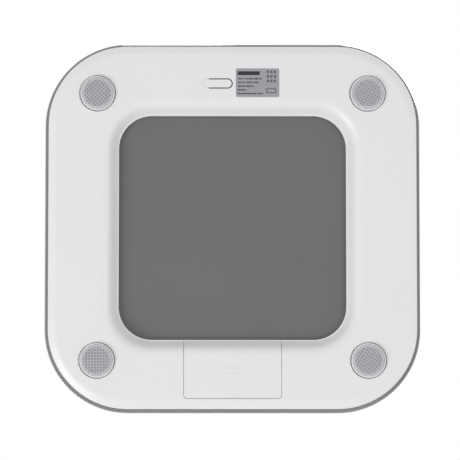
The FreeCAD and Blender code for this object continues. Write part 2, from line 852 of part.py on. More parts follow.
def wire_pieces():
    """Three wires from each load cell and two leads from the battery contacts."""
    root = potting_end + wire_play
    diagonal = 1 / math.sqrt(2)
    far_y = display_y - solder_far
    near_y = display_y - solder_near
    for name, (side_x, side_y) in FEET.items():
        aim_x = -diagonal if side_y > 0 else diagonal
        start = Vector(foot_x + aim_x * root, side_y * foot_y + diagonal * root, z_wire)
        route = [start, start + Vector(aim_x, diagonal, 0) * wire_out]
        if side_y > 0:
            end_y = near_y
            route.append(Vector(foot_x - wire_display_inset, near_y + wire_display_rise, z_wire))
            route.append(Vector(solder_x + wire_display_reach, near_y, z_wire))
        else:
            end_y = far_y
            route.append(Vector(half_width - wire_side_inset, wire_side_reach - foot_y, z_wire))
            route.append(Vector(half_width - wire_middle_inset, 0, z_wire))
            route += up_corner(z_wire)
            route.append(Vector(board_wire_x, far_y - wire_corner_drop, z_wire))
        route.append(Vector(solder_x + wire_end_reach, end_y + wire_end_rise, z_wire))
        route.append(Vector(solder_x, end_y, z_wire))
        route.append(Vector(solder_x, end_y, z_board))
        route = mirrored(route, side_x)
        wires = [tube(beside(route, step * wire_pitch), wire_radius) for step in (-1, 0, 1)]
        save("load_cell_wires_" + name, Part.makeCompound(wires))
    battery_leads(solder_x + lead_solder_step, far_y)


def battery_leads(end_x, end_y):
    """The two leads, laid over the load cell wires on the +X side."""
    for name, y, shift in (("negative", cell_y[0], 1), ("positive", cell_y[1], -1)):
        middle = (cell_y[0] + cell_y[1]) / 2
        lane = shift * wire_pitch / 2
        outside = Vector(well_half + well_wall + lead_out, y, z_lead)
        shared = [corridor(-1, turn) for turn in lead_turns]
        between = (outside + shared[0]) / 2
        route = [Vector(bay_half + bay_wall + contact_tail, y, z_lead), outside]
        route.append(Vector(between.x, (middle + shared[0].y) / 2 + lane, z_lead))
        shared.append(Vector(shared[-1].x - lead_bow, 0, 0))
        shared += up_corner(z_lead)
        shared.append(Vector(board_wire_x, end_y - wire_corner_drop, 0))
        shared.append(Vector(end_x + lead_end_reach, end_y + wire_end_rise, 0))
        shared.append(Vector(end_x, end_y, 0))
        shared = [Vector(point.x, point.y, z_lead) for point in shared]
        route += beside(shared, lane)
        route.append(Vector(route[-1].x, route[-1].y, z_board))
        save("battery_lead_" + name, tube(route, wire_radius))


def tape_strips():
    """Strips of tape that hold the wires along the side bands."""
    strips = []
    low = z_lead + wire_radius
    for side in (-1, 1):
        top = low if side > 0 else z_wire + wire_radius
        for turn in (0, 90):
            spot = corridor(1, turn)
            short_x = tape_half if turn else tape_short
            short_y = tape_short if turn else tape_half
            x = (side * (spot.x - short_x), side * (spot.x + tape_half))
            strips.append(box(x, (spot.y - short_y, spot.y + tape_half), (top, top + tape_thick)))
    return Part.makeCompound(strips)


def foot_pieces():
    """Cup, pad, load cell, potting and bracket at each corner."""
    cup = foot_cup()
    pad = cylinder(0, 0, pad_radius, 0, pad_thick)
    pad = pad.makeChamfer(pad_bevel, edges_at(pad, 0))
    cell = load_cell()
    bracket = load_cell_bracket()
    potting = gauge_potting()
    for name, (side_x, side_y) in FEET.items():
        x, y = side_x * foot_x, side_y * foot_y
        turn = 45 if side_x * side_y < 0 else 135
        save("foot_cup_" + name, placed(cup, x, y))
        save("foot_pad_" + name, placed(pad, x, y))
        save("load_cell_" + name, placed(cell, x, y, turn))
        save("load_cell_bracket_" + name, placed(bracket, x, y, turn))
        save("gauge_potting_" + name, placed(potting, x, y, turn))


def foot_cup():
    """The round cup: a recess for the pad below, a flange that keeps it in the tray and a hub on top."""
    flange_radius = foot_radius + flange_reach
    cup = cylinder(0, 0, foot_radius, foot_rim_gap, z_foot_top)
    cup = cup.makeFillet(foot_ease, edges_at(cup, foot_rim_gap))
    cup = cup.fuse(cylinder(0, 0, flange_radius, z_foot_flange, z_foot_top))
    cup = cup.cut(cylinder(0, 0, pad_radius + pad_play, 0, pad_thick))
    hollow_top = cylinder(0, 0, foot_radius - foot_wall, pad_thick + foot_ceiling, z_foot_top + over)
    cup = cup.cut(hollow_top.cut(cylinder(0, 0, hub_radius + hub_relief, 0, z_top)))
    z_tip = z_load_cell - hub_tip_height
    cup = cup.fuse(cylinder(0, 0, hub_radius, z_foot_top - over, z_tip))
    return cup.fuse(cylinder(0, 0, hub_tip_radius, z_tip - over, z_load_cell)).removeSplitter()


def load_cell():
    """A square steel plate whose middle bar bends when the foot presses it."""
    half = load_cell_side / 2
    inner = half - load_cell_frame
    hole = half - load_cell_frame / 2
    plate = slab(half, half, load_cell_corner, z_load_cell, z_load_cell_top)
    for side in (-1, 1):
        gap = box((-inner, inner), (side * load_cell_bar, side * inner), (0, z_top))
        pad = box((-load_cell_pad, load_cell_pad), (-load_cell_pad, load_cell_pad), (0, z_top))
        plate = plate.cut(gap.cut(pad))
        for hand in (-1, 1):
            plate = plate.cut(cylinder(side * hole, hand * hole, load_cell_hole, 0, z_top))
    return plate


def gauge_potting():
    """The blob of potting over the strain gauge, under the middle bar."""
    low = z_load_cell - 2 * wire_radius - 2 * wire_play
    middle = ((potting_end + load_cell_pad) / 2 + potting_inset, 0)
    half_x = (potting_end - load_cell_pad) / 2 - potting_inset
    blob = slab(half_x, load_cell_bar - potting_inset, potting_corner, low, z_load_cell, middle)
    return blob.makeFillet(potting_ease, edges_at(blob, low))


def load_cell_bracket():
    """The block between the load cell's frame and the glass."""
    seat = load_cell_side / 2 + bracket_play
    half = seat + bracket_wall
    low = z_load_cell_top - bracket_drop
    bracket = slab(half, half, bracket_corner, low, z_print)
    bracket = bracket.cut(slab(seat, seat, load_cell_corner, low - over, z_load_cell_top))
    relief = load_cell_side / 2 - load_cell_frame + bracket_grow
    return bracket.cut(slab(relief, relief, bracket_inner_corner, low, z_load_cell_top + bracket_relief))


def rating_label():
    """A foil label stuck to the tray's underside."""
    return slab(label_width / 2, label_depth / 2, label_corner, z_bottom - label_thick, z_bottom,
                (label_x, label_y))


def main():
    os.makedirs("parts", exist_ok=True)
    glass_pieces()
    save("tray", tray())
    save("battery_cover", battery_cover())
    save("unit_button", unit_button())
    save("rating_label", rating_label())
    switch_pieces()
    board_pieces()
    display_pieces()
    battery_pieces()
    foot_pieces()
    wire_pieces()
    save("wire_tape", tape_strips())


main()
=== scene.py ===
import math

import bmesh
import bpy
from mathutils import Matrix, Vector

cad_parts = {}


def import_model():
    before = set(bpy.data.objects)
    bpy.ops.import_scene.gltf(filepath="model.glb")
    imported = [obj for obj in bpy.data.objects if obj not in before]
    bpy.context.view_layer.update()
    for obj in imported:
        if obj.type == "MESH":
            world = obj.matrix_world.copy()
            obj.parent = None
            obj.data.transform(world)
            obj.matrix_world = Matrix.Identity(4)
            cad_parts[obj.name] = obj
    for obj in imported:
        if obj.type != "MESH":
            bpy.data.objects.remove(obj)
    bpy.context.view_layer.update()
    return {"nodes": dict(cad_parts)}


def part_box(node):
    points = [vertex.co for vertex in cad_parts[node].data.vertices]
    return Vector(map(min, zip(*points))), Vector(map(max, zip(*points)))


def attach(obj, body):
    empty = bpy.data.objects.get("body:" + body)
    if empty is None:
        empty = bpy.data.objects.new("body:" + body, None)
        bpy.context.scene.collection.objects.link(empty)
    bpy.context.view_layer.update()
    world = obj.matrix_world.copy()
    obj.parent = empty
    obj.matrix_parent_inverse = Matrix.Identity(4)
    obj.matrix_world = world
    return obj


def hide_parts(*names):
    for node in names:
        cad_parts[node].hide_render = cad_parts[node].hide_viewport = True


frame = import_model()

bpy.ops.object.select_all(action="DESELECT")

MM = 0.001

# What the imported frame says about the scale's places
platform_low, platform_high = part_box("glass_plate")
lcd_low, lcd_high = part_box("lcd_glass")
label_low, label_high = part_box("rating_label")
FEET = ("display_left", "display_right", "battery_left", "battery_right")

# Sizes that only the looks need
platform_corner = 66.5 * MM
glass_edge_round = 0.5 * MM
glass_top_round = 1.1 * MM
glass_bed_gap = 0.03 * MM
pad_draw_in = 0.12 * MM
pad_edge_round = 0.8 * MM
grid_pitch = 2.3 * MM
grid_pit = 1.5 * MM
grid_depth = 0.3 * MM
grid_radius = 10.3 * MM
grid_turn = {"display_left": 28, "display_right": 45, "battery_left": 32, "battery_right": 0}
pit_taper = 0.78
pad_rim_start = 10.5 * MM
pad_rim_fade = 2.4 * MM
segment_length = 6.2 * MM
segment_width = 1.15 * MM
segment_point = 0.48
segment_spread = 1.04
segment_rise = 0.04 * MM
digit_pitch = 10.5 * MM
point_radius = 0.75 * MM
border_inset = 7 * MM
border_half = 0.45 * MM
# width of the painted highlight round the outer rim of the print behind the glass
print_edge_highlight = 3.4 * MM
panel_half = (34 * MM, 16.5 * MM)
panel_corner = 5 * MM
panel_outline = 0.25 * MM
field_half = (25.5 * MM, 11.5 * MM)
field_corner = 1.0 * MM
crisp_step = 0.08 * MM
soft_step = 0.1 * MM
ink_edge = 0.12 * MM
track_wander = 0.6 * MM
track_pitch_y = 2.2 * MM
track_pitch_x = 3.1 * MM
cell_nose = 1.4 * MM
cell_band = 13 * MM
cell_stripe = 14.2 * MM
cell_stripe_half = 0.35 * MM
cell_tail = 0.7 * MM
same_height = 1e-6

# Colours that more than one finish uses
glass_green = (0.93, 0.975, 0.955, 1.0)
display_tint = (0.93, 1.0, 0.86)
print_tint = (0.985, 1.0, 1.01)
frame_tint = (1.0, 1.0, 0.97)
button_tint = (1, 0.98, 0.9)

# Where the camera stands
camera_tilt = 4.9
camera_lean = 0.5
camera_distance = 2.5
camera_frame = 0.3681
camera_sensor = 36.0
camera_aim = (2.0 * MM, -1.53 * MM)


# ---------------------------------------------------------------- shader building

class Level:
    """A shader value that takes part in ordinary sums."""

    def __init__(self, finish, socket):
        self.finish = finish
        self.socket = socket

    def sum(self, operation, first, second=0.0, clamp=False):
        made = self.finish.node("ShaderNodeMath", {"operation": operation, "use_clamp": clamp},
                                {0: first, 1: second})
        return Level(self.finish, made.outputs[0])

    def __add__(self, other):
        return self.sum("ADD", self, other)

    def __radd__(self, other):
        return self.sum("ADD", other, self)

    def __sub__(self, other):
        return self.sum("SUBTRACT", self, other)

    def __rsub__(self, other):
        return self.sum("SUBTRACT", other, self)

    def __mul__(self, other):
        return self.sum("MULTIPLY", self, other)

    def __rmul__(self, other):
        return self.sum("MULTIPLY", other, self)

    def __truediv__(self, other):
        return self.sum("DIVIDE", self, other)

    def __abs__(self):
        return self.sum("ABSOLUTE", self)

    def at_least(self, other):
        return self.sum("MAXIMUM", self, other)

    def at_most(self, other):
        return self.sum("MINIMUM", self, other)

    def clamped(self):
        return self.sum("ADD", self, 0.0, clamp=True)

    def wrapped(self, length):
        return self.sum("FLOORED_MODULO", self, length)

    def root(self):
        return self.sum("SQRT", self)

    def below(self, edge, soft):
        """1 under the edge and 0 over it, with a soft step."""
        return ((edge - self) / soft + 0.5).clamped()


class Tree:
    """An empty node tree that nodes are added to."""

    def __init__(self, owner):
        owner.use_nodes = True
        self.tree = owner.node_tree
        self.tree.nodes.clear()

    def node(self, kind, settings=None, inputs=None):
        """A node of one kind: its settings first, then the values or links of its sockets."""
        made = self.tree.nodes.new(kind)
        for name, value in (settings or {}).items():
            setattr(made, name, value)
        for name, value in (inputs or {}).items():
            source = value.socket if isinstance(value, Level) else value
            if isinstance(source, bpy.types.NodeSocket):
                self.tree.links.new(source, made.inputs[name])
            else:
                made.inputs[name].default_value = source
        return made


class Finish(Tree):
    """One material, with the nodes that colour it on Object coordinates."""

    def __init__(self, name):
        self.material = bpy.data.materials.new(name)
        super().__init__(self.material)
        self.place = self.node("ShaderNodeTexCoord").outputs["Object"]
        split = self.node("ShaderNodeSeparateXYZ", {}, {0: self.place})
        self.x, self.y, self.z = [Level(self, socket) for socket in split.outputs]

    def noise(self, scale, detail=2.0, roughness=0.5, stretch=(1, 1, 1)):
        """Cloudy values about 0.5; scale is in waves a metre."""
        place = self.node("ShaderNodeMapping", {}, {"Vector": self.place, "Scale": stretch})
        made = self.node("ShaderNodeTexNoise", {}, {"Vector": place.outputs[0], "Scale": scale,
                                                    "Detail": detail, "Roughness": roughness})
        return Level(self, made.outputs[0])

    def facing(self, axis):
        """How far the surface looks along one axis of the scale."""
        normal = self.node("ShaderNodeNewGeometry").outputs["Normal"]
        split = self.node("ShaderNodeSeparateXYZ", {}, {0: normal})
        return Level(self, split.outputs[axis])

    def mix(self, share, first, second):
        """A colour between two, by a share from 0 to 1."""
        made = self.node("ShaderNodeMix", {"data_type": "RGBA"}, {0: share, 6: first, 7: second})
        return made.outputs[2]

    def bar(self, centre, half, soft=0.05 * MM):
        """1 inside a rectangle seen along Z, 0 outside."""
        beyond = (abs(self.x - centre[0]) - half[0]).at_least(abs(self.y - centre[1]) - half[1])
        return beyond.below(0.0, soft)

    def round_frame(self, half, corner, centre=(0.0, 0.0)):
        """How far outside a rounded rectangle seen along Z, less than 0 inside."""
        out_x = abs(self.x - centre[0]) - (half[0] - corner)
        out_y = abs(self.y - centre[1]) - (half[1] - corner)
        over_x = out_x.at_least(0.0)
        over_y = out_y.at_least(0.0)
        return (over_x * over_x + over_y * over_y).root() + out_x.at_least(out_y).at_most(0.0) - corner

    def bump(self, height, depth, strength=1.0):
        """A normal from a height of 0 to 1 over a depth in metres."""
        made = self.node("ShaderNodeBump", {}, {"Height": height, "Distance": depth, "Strength": strength})
        return made.outputs[0]

    def shade(self, colour, roughness, normal=None, **constants):
        """The finished surface; constants are set on the shader's own sockets."""
        inputs = {"Base Color": colour, "Roughness": roughness}
        if normal is not None:
            inputs["Normal"] = normal
        inputs.update({name.replace("_", " "): value for name, value in constants.items()})
        shader = self.node("ShaderNodeBsdfPrincipled", {}, inputs)
        self.surface(shader.outputs[0])
        return self.material

    def surface(self, socket):
        self.node("ShaderNodeOutputMaterial", {}, {"Surface": socket})


def grey(value, tint=(1.0, 1.0, 1.0)):
    return (value * tint[0], value * tint[1], value * tint[2], 1.0)


# ---------------------------------------------------------------- finishes

def white_plastic():
    """Moulded ABS, semi-gloss, with a faint orange peel and handling marks."""
    f = Finish("white_plastic")
    clouds = f.noise(9.0, 3.0)
    grain = f.noise(2600.0, 2.0, 0.6)
    scuffs = f.noise(60.0, 6.0, 0.7, (1.0, 9.0, 3.0)).below(0.36, 0.03)
    tone = 0.6 * clouds + 0.4 * grain
    clean = f.mix(tone.clamped(), grey(0.775, (1.0, 0.987, 0.995)), grey(0.82, (1.001, 0.988, 0.993)))
    colour = f.mix(scuffs * 0.05, clean, grey(0.55))
    peel = f.noise(230.0, 1.0) * 0.7 + grain * 0.3
    roughness = 0.26 + 0.10 * clouds + 0.06 * grain + 0.05 * scuffs
    return f.shade(colour, roughness, f.bump(peel, 0.02 * MM, 0.35), IOR=1.52)


def grey_print():
    """Screen print on the glass: grey behind with a painted highlight round its outer rim, and from above a
    silver grey with a dark display panel.
    """
    f = Finish("grey_print")
    upward = f.facing(2)
    above = upward.sum("GREATER_THAN", upward, 0.5)
    mesh = f.noise(1500.0, 2.0, 0.7)
    clouds = f.noise(14.0, 3.0, 0.55)
    tone = (0.75 * clouds + 0.25 * mesh).clamped()
    back = f.mix(tone, grey(0.128, (0.985, 1.022, 0.955)), grey(0.160, (0.985, 1.02, 0.958)))
    front = f.mix(tone, grey(0.30, print_tint), grey(0.36, print_tint))
    border = (platform_high.x - border_inset, platform_high.y - border_inset)
    line = abs(f.round_frame(border, platform_corner - border_inset)).below(border_half, crisp_step)
    front = f.mix(line * 0.7, front, grey(0.75))
    middle = ((lcd_low.x + lcd_high.x) / 2, (lcd_low.y + lcd_high.y) / 2)
    panel = f.round_frame(panel_half, panel_corner, middle)
    front = f.mix(panel.below(0.0, soft_step), front, grey(0.012))
    front = f.mix(abs(panel).below(panel_outline, crisp_step), front, grey(0.6))
    outline = f.round_frame((platform_high.x, platform_high.y), platform_corner)
    # painted highlight: the print behind is paler all round its outer rim, standing in for light caught by
    # the glass edge
    rim = abs(outline).below(print_edge_highlight, 3 * soft_step)
    back = f.mix(rim, back, grey(0.25))
    colour = f.mix(above, back, front)
    roughness = 0.42 + 0.12 * clouds + 0.1 * mesh
    return f.shade(colour, roughness, f.bump(mesh, 0.01 * MM, 0.25))


def clear_glass():
    """Tempered float glass, faintly green, with a ground edge, that lets lamp light through."""
    f = Finish("clear_glass")
    smear = f.noise(18.0, 4.0, 0.6)
    roughness = 0.015 + 0.03 * smear
    shader = f.node("ShaderNodeBsdfPrincipled", {}, {
        "Base Color": glass_green, "Roughness": roughness, "IOR": 1.5,
        "Transmission Weight": 1.0})
    through = f.node("ShaderNodeBsdfTransparent", {}, {"Color": glass_green})
    ground = f.node("ShaderNodeBsdfPrincipled", {}, {
        "Base Color": (0.40, 0.46, 0.435, 1.0), "Roughness": 0.5 + 0.1 * smear})
    steep = abs(f.facing(2)).below(0.5, 0.3) * 0.6
    edged = f.node("ShaderNodeMixShader", {}, {0: steep, 1: shader.outputs[0], 2: ground.outputs[0]})
    ray = f.node("ShaderNodeLightPath").outputs["Is Shadow Ray"]
    both = f.node("ShaderNodeMixShader", {}, {0: ray, 1: edged.outputs[0], 2: through.outputs[0]})
    f.surface(both.outputs[0])
    return f.material


def foam():
    f = Finish("foam_tape")
    cells = f.noise(1400.0, 3.0, 0.7)
    colour = f.mix(cells, grey(0.62), grey(0.78))
    return f.shade(colour, 0.85 + 0.1 * cells, f.bump(cells, 0.1 * MM, 0.5))


def label_foil():
    """Silver foil printed with plain bars and blocks in place of any lettering."""
    f = Finish("label_foil")
    middle = (label_low + label_high) / 2
    half = (label_high - label_low) / 2

    def block(left, right, top, bottom):
        """A printed block, by its share of the label's width and height."""
        centre = (middle.x + half.x * (1 - left - right), middle.y + half.y * (1 - top - bottom))
        return f.bar(centre, (half.x * (right - left), half.y * (bottom - top)), ink_edge)

    ink = block(0.04, 0.55, 0.10, 0.235)
    gaps = f.noise(900.0, 0.0, 0.5, (1.0, 0.05, 1.0)).below(0.56, 0.1)
    for right, level in ((0.60, 0.36), (0.52, 0.49), (0.42, 0.62), (0.24, 0.75), (0.62, 0.88)):
        ink = ink.at_least(block(0.04, right, level - 0.026, level + 0.026) * (0.35 + 0.5 * gaps))
    for column in (0.74, 0.82, 0.90):
        for level in (0.12, 0.28, 0.44):
            ink = ink.at_least(0.75 * block(column - 0.025, column + 0.025, level - 0.05, level + 0.05))
    ink = ink.at_least(0.85 * block(0.70, 0.93, 0.70, 0.86)) - 0.85 * block(0.72, 0.91, 0.73, 0.83)
    grain = f.noise(1800.0, 2.0, 0.6, (1.0, 0.2, 1.0))
    foil = f.mix(grain, grey(0.31, (0.985, 1.0, 1.09)), grey(0.41, (0.985, 1.0, 1.08)))
    colour = f.mix(ink.clamped(), foil, grey(0.035))
    return f.shade(colour, 0.38 + 0.15 * grain, f.bump(grain, 0.01 * MM, 0.2), Metallic=0.25)


def pad_rubber():
    """Grey silicone, paler round its rim, with painted shade darkening the pits of its grid."""
    f = Finish("grey_rubber")
    low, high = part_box("foot_pad_display_right")
    middle = (low + high) / 2
    away_x = abs(f.x) - middle.x
    away_y = abs(f.y) - middle.y
    reach = (away_x * away_x + away_y * away_y).root()
    rim = ((reach - pad_rim_start) / pad_rim_fade).clamped()
    # painted shade: the colour darkens above the pad's lowest face, so the pits of the grid look shaded
    pit_shade = 1 - f.z.below(grid_depth * 0.6, grid_depth * 0.6)
    clouds = f.noise(120.0, 4.0, 0.6)
    fine = f.noise(2500.0, 2.0, 0.6)
    face = f.mix(clouds, grey(0.39, (0.99, 1.0, 1.06)), grey(0.46, (0.99, 1.0, 1.05)))
    face = f.mix(pit_shade * 0.5, face, grey(0.22, (0.97, 1.0, 1.08)))
    colour = f.mix(rim * 0.75, face, grey(0.72))
    return f.shade(colour, 0.55 + 0.15 * fine, f.bump(fine, 0.03 * MM, 0.4), IOR=1.42)


def circuit_board():
    """Green solder mask with copper tracks under it."""
    f = Finish("circuit_board")
    lane = (f.y + track_wander * f.noise(160.0, 1.0)).wrapped(track_pitch_y)
    across = (f.x + track_wander * f.noise(140.0, 1.0)).wrapped(track_pitch_x)
    tracks = lane.below(0.5 * MM, crisp_step).at_least(across.below(0.45 * MM, crisp_step) * 0.8)
    flat = f.noise(40.0, 2.0)
    mask = f.mix(tracks, (0.010, 0.085, 0.035, 1), (0.03, 0.19, 0.08, 1))
    return f.shade(mask, 0.25 + 0.2 * flat, f.bump(tracks, 0.03 * MM, 0.6), Coat_Weight=0.4)


def metal(name, low, high, roughness, lay=(1.0, 1.0, 1.0)):
    f = Finish(name)
    brush = f.noise(1300.0, 3.0, 0.6, lay)
    clouds = f.noise(90.0, 3.0)
    colour = f.mix((0.5 * brush + 0.5 * clouds).clamped(), low, high)
    return f.shade(colour, roughness + 0.15 * clouds, f.bump(brush, 0.01 * MM, 0.3), Metallic=1.0)


def plain(name, low, high, roughness, scale=700.0, depth=0.03 * MM, **constants):
    """A moulded or cured finish with its own fine mottle."""
    f = Finish(name)
    mottle = f.noise(scale, 3.0, 0.6)
    clouds = f.noise(60.0, 2.0)
    colour = f.mix((0.5 * mottle + 0.5 * clouds).clamped(), low, high)
    return f.shade(colour, roughness + 0.12 * mottle, f.bump(mottle, depth, 0.4), **constants)


def cell_jacket():
    """A cell's printed sleeve: dark body, copper-coloured end by the nose, and bare steel ends."""
    f = Finish("cell_jacket")
    first_low, first_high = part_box("battery_cell_1")
    second_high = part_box("battery_cell_2")[1]
    divide = (first_low.y + second_high.y) / 2
    first = 1 - f.y.below(divide, 0.01 * MM)
    along = first * (f.x - first_low.x) + (1 - first) * (second_high.x - f.x)
    length = first_high.x - first_low.x
    noses = along.below(cell_nose, soft_step)
    band = along.below(cell_band, soft_step)
    tail = 1 - along.below(length - cell_tail, soft_step)
    stripe = abs(along - cell_stripe).below(cell_stripe_half, crisp_step)
    grain = f.noise(1500.0, 2.0)
    sleeve = f.mix(band, grey(0.020, (1.0, 1.05, 1.3)), (0.50, 0.22, 0.08, 1))
    sleeve = f.mix(stripe, sleeve, grey(0.6))
    bare = noses.at_least(tail)
    colour = f.mix(bare, sleeve, grey(0.55))
    metallic = 0.35 + 0.6 * bare
    return f.shade(colour, 0.28 + 0.1 * grain, f.bump(grain, 0.01 * MM, 0.2), Metallic=metallic)


def display_glass():
    """The display's polariser: a grey green field with a darker rim."""
    f = Finish("display_glass")
    middle = ((lcd_low.x + lcd_high.x) / 2, (lcd_low.y + lcd_high.y) / 2)
    rim = f.round_frame(field_half, field_corner, middle)
    grain = f.noise(2500.0, 2.0)
    field = f.mix(grain, grey(0.33, display_tint), grey(0.36, display_tint))
    colour = f.mix(rim.below(0.0, 2 * soft_step), grey(0.12, display_tint), field)
    return f.shade(colour, 0.18 + 0.06 * grain)


def stage_floor():
    """A plain pale floor that shows only from above."""
    f = Finish("stage_floor")
    clouds = f.noise(3.0, 2.0)
    surface = f.node("ShaderNodeBsdfPrincipled", {}, {
        "Base Color": f.mix(clouds, grey(0.80), grey(0.83)), "Roughness": 0.6})
    gone = f.node("ShaderNodeBsdfTransparent")
    behind = f.node("ShaderNodeNewGeometry").outputs["Backfacing"]
    both = f.node("ShaderNodeMixShader", {}, {0: behind, 1: surface.outputs[0], 2: gone.outputs[0]})
    f.surface(both.outputs[0])
    return f.material


# ---------------------------------------------------------------- modelling by hand

def selected(kind, test):
    """Selects the parts of the edited mesh that pass a test: VERT, EDGE or FACE."""
    bpy.ops.mesh.select_mode(type=kind)
    bpy.ops.mesh.select_all(action="DESELECT")
    data = bpy.context.edit_object.data
    mesh = bmesh.from_edit_mesh(data)
    for part in {"VERT": mesh.verts, "EDGE": mesh.edges, "FACE": mesh.faces}[kind]:
        part.select = test(part)
    mesh.select_flush_mode()
    bmesh.update_edit_mesh(data)


def level_edge(edge, z):
    return all(abs(corner.co.z - z) < same_height for corner in edge.verts)


def upright_edge(edge):
    return abs(edge.verts[0].co.z - edge.verts[1].co.z) > same_height


def settle(name):
    """Puts the active object's place into its mesh and names it."""
    bpy.ops.object.transform_apply(location=True, rotation=True, scale=True)
    piece = bpy.context.object
    piece.name = name
    piece.data.name = name
    return piece


def apply_modifier(piece, kind, **settings):
    """Adds one modifier to a piece and applies it."""
    bpy.ops.object.select_all(action="DESELECT")
    bpy.context.view_layer.objects.active = piece
    piece.select_set(True)
    made = piece.modifiers.new(kind.lower(), kind)
    for key, value in settings.items():
        setattr(made, key, value)
    bpy.ops.object.modifier_apply(modifier=made.name)


def smooth(piece, angle=35.0):
    """Smooth shading inside curved faces, with flat faces kept flat."""
    bpy.ops.object.select_all(action="DESELECT")
    bpy.context.view_layer.objects.active = piece
    piece.select_set(True)
    bpy.ops.object.shade_smooth_by_angle(angle=math.radians(angle))
    apply_modifier(piece, "WEIGHTED_NORMAL", keep_sharp=True)


def finish_piece(piece, material, body):
    piece.data.materials.clear()
    piece.data.materials.append(material)
    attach(piece, body)
    return piece


def rounded_slab(name, low, high, corner, eases, corner_steps, ease_steps):
    """A block with rounded upright corners; eases are the roundings of its lower and upper edges."""
    bpy.ops.object.select_all(action="DESELECT")
    middle = (low + high) / 2
    bpy.ops.mesh.primitive_cube_add(size=1.0, location=middle, scale=high - low)
    piece = settle(name)
    bpy.ops.object.mode_set(mode="EDIT")
    selected("EDGE", upright_edge)
    bpy.ops.mesh.bevel(offset=corner, segments=corner_steps, affect="EDGES")
    for z, ease in zip((low.z, high.z), eases):
        selected("EDGE", lambda edge: level_edge(edge, z))
        bpy.ops.mesh.bevel(offset=ease, segments=ease_steps, affect="EDGES")
    bpy.ops.object.mode_set(mode="OBJECT")
    return piece


def platform_glass(material):
    """The tempered platform with its pencil-round edge."""
    low = platform_low + Vector((0, 0, glass_bed_gap))
    eases = (glass_edge_round, glass_top_round)
    piece = rounded_slab("platform_glass", low, platform_high, platform_corner, eases, 40, 6)
    smooth(piece)
    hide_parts("glass_plate")
    return finish_piece(piece, material, "platform")


def pit_grid(middle, turn, low):
    """The pits of a pad's grid, as cutters clipped to a circle."""
    count = int(2 * grid_radius / grid_pitch) + 2
    bpy.ops.object.select_all(action="DESELECT")
    bpy.ops.mesh.primitive_cube_add(size=1.0, scale=(grid_pit, grid_pit, 2 * grid_depth))
    cutter = settle("pit_cutter")
    bpy.ops.object.mode_set(mode="EDIT")
    selected("FACE", lambda face: face.normal.z > 0.5)
    bpy.ops.transform.resize(value=(pit_taper, pit_taper, 1.0))
    bpy.ops.object.mode_set(mode="OBJECT")
    for axis in (0, 1):
        step = [0.0, 0.0, 0.0]
        step[axis] = grid_pitch
        apply_modifier(cutter, "ARRAY", count=count, use_relative_offset=False,
                       use_constant_offset=True, constant_offset_displace=step)
    cutter.location = (-(count - 1) * grid_pitch / 2, -(count - 1) * grid_pitch / 2, 0.0)
    bpy.ops.object.transform_apply(location=True, rotation=True, scale=True)
    cutter.rotation_euler = (0.0, 0.0, math.radians(turn))
    cutter.location = (middle.x, middle.y, low)
    bpy.ops.object.transform_apply(location=True, rotation=True, scale=True)
    bpy.ops.object.select_all(action="DESELECT")
    bpy.ops.mesh.primitive_cylinder_add(vertices=96, radius=grid_radius, depth=4 * grid_depth,
                                        location=(middle.x, middle.y, low))
    clip = settle("pit_clip")
    apply_modifier(cutter, "BOOLEAN", object=clip, operation="INTERSECT", solver="EXACT")
    bpy.data.objects.remove(clip)
    return cutter


def foot_pad(foot, material):
    """A silicone pad with a rounded edge and a grid of pits on its underside."""
    low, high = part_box("foot_pad_" + foot)
    middle = (low + high) / 2
    radius = (high.x - low.x) / 2 - pad_draw_in
    bpy.ops.object.select_all(action="DESELECT")
    bpy.ops.mesh.primitive_cylinder_add(vertices=128, radius=radius, depth=high.z - low.z, location=middle)
    pad = settle("pad_" + foot)
    bpy.ops.object.mode_set(mode="EDIT")
    selected("EDGE", lambda edge: level_edge(edge, low.z))
    bpy.ops.mesh.bevel(offset=pad_edge_round, segments=6, affect="EDGES")
    bpy.ops.object.mode_set(mode="OBJECT")
    cutter = pit_grid(middle, grid_turn[foot], low.z)
    apply_modifier(pad, "BOOLEAN", object=cutter, operation="DIFFERENCE", solver="EXACT")
    bpy.data.objects.remove(cutter)
    smooth(pad, 30.0)
    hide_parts("foot_pad_" + foot)
    return finish_piece(pad, material, "foot_" + foot)


def segment_mesh():
    """One bar of a digit, pointed at both ends, lying along X."""
    bpy.ops.object.select_all(action="DESELECT")
    bpy.ops.mesh.primitive_cube_add(size=1.0, scale=(segment_length, segment_width, segment_rise))
    bar = settle("segment")
    bpy.ops.object.mode_set(mode="EDIT")
    selected("EDGE", upright_edge)
    bpy.ops.mesh.bevel(offset=segment_width * segment_point, offset_type="WIDTH", segments=1, affect="EDGES")
    bpy.ops.object.mode_set(mode="OBJECT")
    return bar


SEGMENTS = {
    "a": (0, 1, 0), "g": (0, 0, 0), "d": (0, -1, 0),
    "f": (-0.5, 0.5, 90), "b": (0.5, 0.5, 90), "e": (-0.5, -0.5, 90), "c": (0.5, -0.5, 90),
}


def digit(bar, middle, lit):
    """Copies of the bar set out as one digit; lit names the bars to make."""
    bars = []
    step = segment_length * segment_spread
    for name in lit:
        across, up, turn = SEGMENTS[name]
        copy = bar.copy()
        copy.data = bar.data.copy()
        bpy.context.scene.collection.objects.link(copy)
        place = Matrix.Translation(middle + Vector((across * step, up * step, 0.0)))
        copy.data.transform(place @ Matrix.Rotation(math.radians(turn), 4, "Z"))
        bars.append(copy)
    return bars


